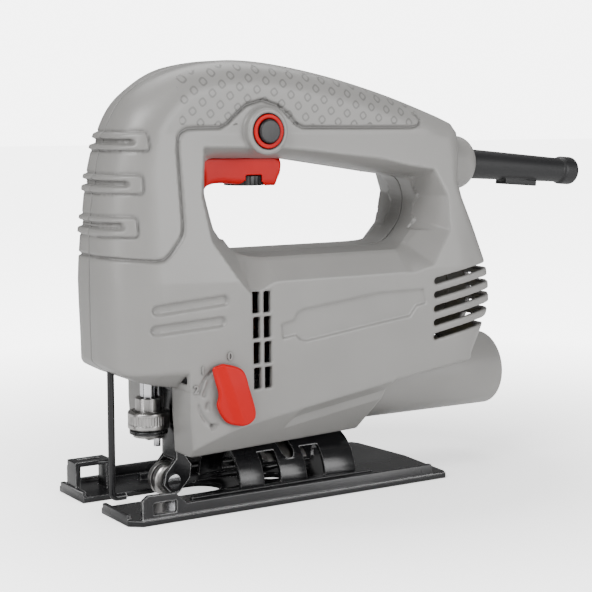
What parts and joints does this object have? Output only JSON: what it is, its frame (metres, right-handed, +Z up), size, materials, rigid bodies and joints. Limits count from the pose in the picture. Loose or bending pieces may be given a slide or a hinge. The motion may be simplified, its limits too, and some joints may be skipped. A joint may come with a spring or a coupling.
{
  "type": "jigsaw power tool",
  "caption": "Corded orbital jigsaw: grey clamshell body with closed grip, red trigger and selector lever, tilting black shoe with guide roller, dust tube and cord sleeve.",
  "frame": {"origin": "centre of the overall box, on the plane of the sole", "axes": "+X points from the nose to the cord sleeve, +Y to the tool's right, +Z up from the sole"},
  "size_m": [0.2658, 0.076, 0.1873],
  "materials": {
    "housing_plastic": "fine spark-eroded satin, warm grey",
    "red_plastic": "smooth semi-gloss red",
    "black_plastic": "satin black nylon",
    "black_rubber": "matt black",
    "black_steel": "semi-gloss black coated sheet steel",
    "polished_steel": "ground and polished",
    "machined_steel": "turned, lightly oiled",
    "zinc_screws": "zinc plated",
    "bronze": "sintered bronze",
    "cast_aluminium": "as cast",
    "laminated_steel": "stacked laminations",
    "copper": "enamelled copper",
    "carbon": "pressed carbon",
    "capacitor_film": "yellow film capacitor"
  },
  "bodies": {
    "housing": {"housing_left": "housing_plastic", "housing_right": "housing_plastic", "housing_screws": "zinc_screws", "gear_case": "cast_aluminium", "lower_plunger_bush": "bronze", "upper_plunger_bush": "bronze", "plunger_seal": "black_rubber", "front_bearing": "machined_steel", "rear_bearing": "machined_steel", "stator_core": "laminated_steel", "field_coils": "copper", "gear_shaft": "polished_steel", "brush_holders": "black_plastic", "carbon_brushes": "carbon", "brush_springs": "polished_steel", "arm_pivot_pin": "polished_steel", "switch_body": "black_plastic", "trigger_spring": "polished_steel", "lock_ring": "red_plastic", "suppression_capacitor": "capacitor_film", "strain_relief_sleeve": "black_rubber", "cord_clamp": "black_plastic", "dust_tube": "housing_plastic", "guard_wire": "black_steel", "tilt_clamp_shoe": "machined_steel", "tilt_clamp_screw": "zinc_screws"},
    "armature": {"armature_shaft": "polished_steel", "armature_core": "laminated_steel", "armature_winding": "copper", "commutator": "copper", "cooling_fan": "black_plastic", "drive_pinion": "machined_steel"},
    "gear": {"drive_gear": "machined_steel", "crank_pin": "polished_steel"},
    "plunger": {"plunger_rod": "polished_steel", "scotch_yoke": "machined_steel", "blade_clamp_body": "machined_steel", "clamp_retainer": "black_steel", "clamp_pin": "polished_steel"},
    "collar": {"blade_clamp_collar": "machined_steel"},
    "arm": {"guide_arm": "black_steel", "roller_pin": "polished_steel"},
    "roller": {"guide_roller": "machined_steel"},
    "lever": {"selector_lever": "red_plastic", "selector_cam_shaft": "black_plastic"},
    "trigger": {"trigger": "red_plastic"},
    "dial": {"speed_dial": "black_plastic"},
    "lock": {"lock_button": "black_plastic"},
    "shoe": {"base_plate": "black_steel", "tilt_tunnel": "black_steel"}
  },
  "joints": [
    {"name": "armature_spin", "type": "hinge", "parent": "housing", "child": "armature", "pos_m": [-0.043, 0, 0.074], "axis": [1, 0, 0], "continuous": true},
    {"name": "gear_spin", "type": "hinge", "parent": "housing", "child": "gear", "pos_m": [-0.096, 0, 0.09725], "axis": [1, 0, 0], "continuous": true},
    {"name": "plunger_stroke", "type": "slide", "parent": "housing", "child": "plunger", "axis": [0, 0, 1], "range_m": [0, 0.018]},
    {"name": "collar_twist", "type": "hinge", "parent": "plunger", "child": "collar", "pos_m": [-0.1062, 0, 0.035], "axis": [0, 0, 1], "range_deg": [0, 60], "stiffness_Nm_per_rad": 0.05},
    {"name": "orbit_swing", "type": "hinge", "parent": "housing", "child": "arm", "pos_m": [-0.0932, 0, 0.048], "axis": [0, 1, 0], "range_deg": [0, 3]},
    {"name": "roller_spin", "type": "hinge", "parent": "arm", "child": "roller", "pos_m": [-0.0978, 0, 0.0083], "axis": [0, 1, 0], "continuous": true},
    {"name": "selector_turn", "type": "hinge", "parent": "housing", "child": "lever", "pos_m": [-0.0843, -0.035, 0.047], "axis": [0, -1, 0], "range_deg": [0, 135]},
    {"name": "trigger_pull", "type": "slide", "parent": "housing", "child": "trigger", "axis": [0, 0, 1], "range_m": [0, 0.0045], "stiffness_N_per_m": 600, "springref_m": -0.002, "deforming": ["trigger_spring"]},
    {"name": "dial_turn", "type": "hinge", "parent": "trigger", "child": "dial", "pos_m": [-0.0585, 0, 0.135], "axis": [0, 0, 1], "range_deg": [0, 270]},
    {"name": "lock_push", "type": "slide", "parent": "housing", "child": "lock", "axis": [0, 1, 0], "range_m": [0, 0.003], "stiffness_N_per_m": 400, "springref_m": -0.001},
    {"name": "shoe_tilt", "type": "hinge", "parent": "housing", "child": "shoe", "pos_m": [-0.045, 0, 0.0026], "axis": [1, 0, 0], "range_deg": [-30, 30]}
  ],
  "couplings": [
    {"joint": "gear_spin", "follows": "armature_spin", "ratio": -0.21053}
  ]
}
